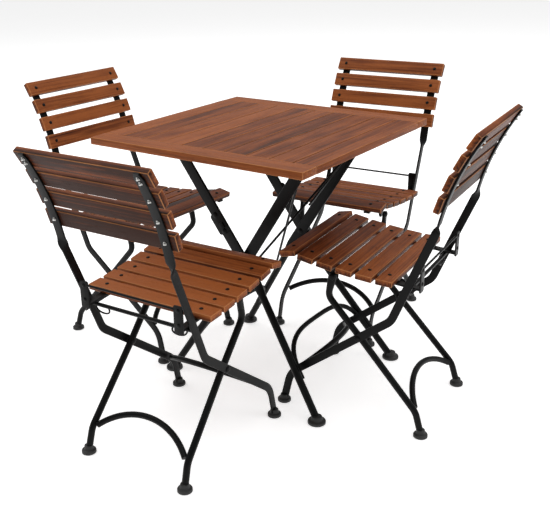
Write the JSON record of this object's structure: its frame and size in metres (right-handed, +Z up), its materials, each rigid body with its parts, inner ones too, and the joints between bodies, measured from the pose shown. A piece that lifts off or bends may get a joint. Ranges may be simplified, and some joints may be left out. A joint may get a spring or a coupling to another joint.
{
  "type": "patio dining set",
  "caption": "Square slatted wood folding table on crossed steel legs, with folding slatted bistro chairs pulled up to its sides.",
  "frame": {"origin": "middle of the bounding box of the whole set, on the ground", "axes": "+Z up out of the table top, +Y across the table along its slats, +X along its end boards"},
  "size_m": [1.449, 1.5446, 0.827],
  "materials": {
    "wood": "oiled reddish-brown hardwood",
    "steel": "satin black powder coat"
  },
  "bodies": {
    "table_outer_frame": {"table_outer_leg_front": "steel", "table_outer_leg_back": "steel", "table_outer_arch": "steel", "table_hinge_bar": "steel"},
    "table_inner_frame": {"table_inner_leg_front": "steel", "table_inner_leg_back": "steel", "table_inner_arch": "steel", "table_catch_bar": "steel", "table_cross_brace": "steel"},
    "table_top": {"table_end_board_front": "wood", "table_end_board_back": "wood", "table_slat_panel": "wood"},
    "chair1_frame": {"chair1_left_stile": "steel", "chair1_right_stile": "steel", "chair1_slider_bar": "steel", "chair1_front_arch": "steel", "chair1_back_slats": "wood"},
    "chair1_rear_legs": {"chair1_left_rear_leg": "steel", "chair1_right_rear_leg": "steel", "chair1_rear_arch": "steel"},
    "chair1_seat": {"chair1_catch_rod": "steel", "chair1_left_seat_rail": "steel", "chair1_right_seat_rail": "steel", "chair1_seat_slats": "wood"},
    "chair2_frame": {"chair2_left_stile": "steel", "chair2_right_stile": "steel", "chair2_slider_bar": "steel", "chair2_front_arch": "steel", "chair2_back_slats": "wood"},
    "chair2_rear_legs": {"chair2_left_rear_leg": "steel", "chair2_right_rear_leg": "steel", "chair2_rear_arch": "steel"},
    "chair2_seat": {"chair2_catch_rod": "steel", "chair2_left_seat_rail": "steel", "chair2_right_seat_rail": "steel", "chair2_seat_slats": "wood"},
    "chair3_frame": {"chair3_left_stile": "steel", "chair3_right_stile": "steel", "chair3_slider_bar": "steel", "chair3_front_arch": "steel", "chair3_back_slats": "wood"},
    "chair3_rear_legs": {"chair3_left_rear_leg": "steel", "chair3_right_rear_leg": "steel", "chair3_rear_arch": "steel"},
    "chair3_seat": {"chair3_catch_rod": "steel", "chair3_left_seat_rail": "steel", "chair3_right_seat_rail": "steel", "chair3_seat_slats": "wood"},
    "chair4_frame": {"chair4_left_stile": "steel", "chair4_right_stile": "steel", "chair4_slider_bar": "steel", "chair4_front_arch": "steel", "chair4_back_slats": "wood"},
    "chair4_rear_legs": {"chair4_left_rear_leg": "steel", "chair4_right_rear_leg": "steel", "chair4_rear_arch": "steel"},
    "chair4_seat": {"chair4_catch_rod": "steel", "chair4_left_seat_rail": "steel", "chair4_right_seat_rail": "steel", "chair4_seat_slats": "wood"}
  },
  "joints": [
    {"name": "table_fold", "type": "hinge", "parent": "table_outer_frame", "child": "table_inner_frame", "pos_m": [0.07436, 0.00444, 0.39094], "axis": [0, -1, 0], "range_deg": [0, 40]},
    {"name": "table_top_tilt", "type": "hinge", "parent": "table_outer_frame", "child": "table_top", "pos_m": [-0.14595, 0.00444, 0.69], "axis": [0, -1, 0], "range_deg": [0, 56]},
    {"name": "chair1_pull_out", "type": "slide", "parent": "table_outer_frame", "child": "chair1_frame", "axis": [0.0436, -0.999, 0], "range_m": [0, 0.3]},
    {"name": "chair1_leg_fold", "type": "hinge", "parent": "chair1_frame", "child": "chair1_rear_legs", "pos_m": [0.08474, -0.47359, 0.246], "axis": [0.999, 0.0436, 0], "range_deg": [0, 35]},
    {"name": "chair1_seat_fold", "type": "hinge", "parent": "chair1_rear_legs", "child": "chair1_seat", "pos_m": [0.08116, -0.39167, 0.402], "axis": [0.999, 0.0436, 0], "range_deg": [-105, 0]},
    {"name": "chair2_pull_out", "type": "slide", "parent": "table_outer_frame", "child": "chair2_frame", "axis": [0.9962, 0.0872, 0], "range_m": [0, 0.3]},
    {"name": "chair2_leg_fold", "type": "hinge", "parent": "chair2_frame", "child": "chair2_rear_legs", "pos_m": [0.41916, 0.01482, 0.246], "axis": [-0.0872, 0.9962, 0], "range_deg": [0, 35]},
    {"name": "chair2_seat_fold", "type": "hinge", "parent": "chair2_rear_legs", "child": "chair2_seat", "pos_m": [0.33748, 0.00768, 0.402], "axis": [-0.0872, 0.9962, 0], "range_deg": [-105, 0]},
    {"name": "chair3_pull_out", "type": "slide", "parent": "table_outer_frame", "child": "chair3_frame", "axis": [-0.0698, 0.9976, 0], "range_m": [0, 0.3]},
    {"name": "chair3_leg_fold", "type": "hinge", "parent": "chair3_frame", "child": "chair3_rear_legs", "pos_m": [0.08114, 0.46951, 0.246], "axis": [-0.9976, -0.0698, 0], "range_deg": [0, 35]},
    {"name": "chair3_seat_fold", "type": "hinge", "parent": "chair3_rear_legs", "child": "chair3_seat", "pos_m": [0.08686, 0.38771, 0.402], "axis": [-0.9976, -0.0698, 0], "range_deg": [-105, 0]},
    {"name": "chair4_pull_out", "type": "slide", "parent": "table_outer_frame", "child": "chair4_frame", "axis": [-0.9997, 0.0244, 0], "range_m": [0, 0.3]},
    {"name": "chair4_leg_fold", "type": "hinge", "parent": "chair4_frame", "child": "chair4_rear_legs", "pos_m": [-0.42896, -0.01429, 0.246], "axis": [-0.0244, -0.9997, 0], "range_deg": [0, 35]},
    {"name": "chair4_seat_fold", "type": "hinge", "parent": "chair4_rear_legs", "child": "chair4_seat", "pos_m": [-0.34698, -0.0163, 0.402], "axis": [-0.0244, -0.9997, 0], "range_deg": [-105, 0]}
  ],
  "couplings": [
    {"joint": "table_top_tilt", "follows": "table_fold", "ratio": 1.4},
    {"joint": "chair1_seat_fold", "follows": "chair1_leg_fold", "ratio": -3},
    {"joint": "chair2_seat_fold", "follows": "chair2_leg_fold", "ratio": -3},
    {"joint": "chair3_seat_fold", "follows": "chair3_leg_fold", "ratio": -3},
    {"joint": "chair4_seat_fold", "follows": "chair4_leg_fold", "ratio": -3}
  ]
}
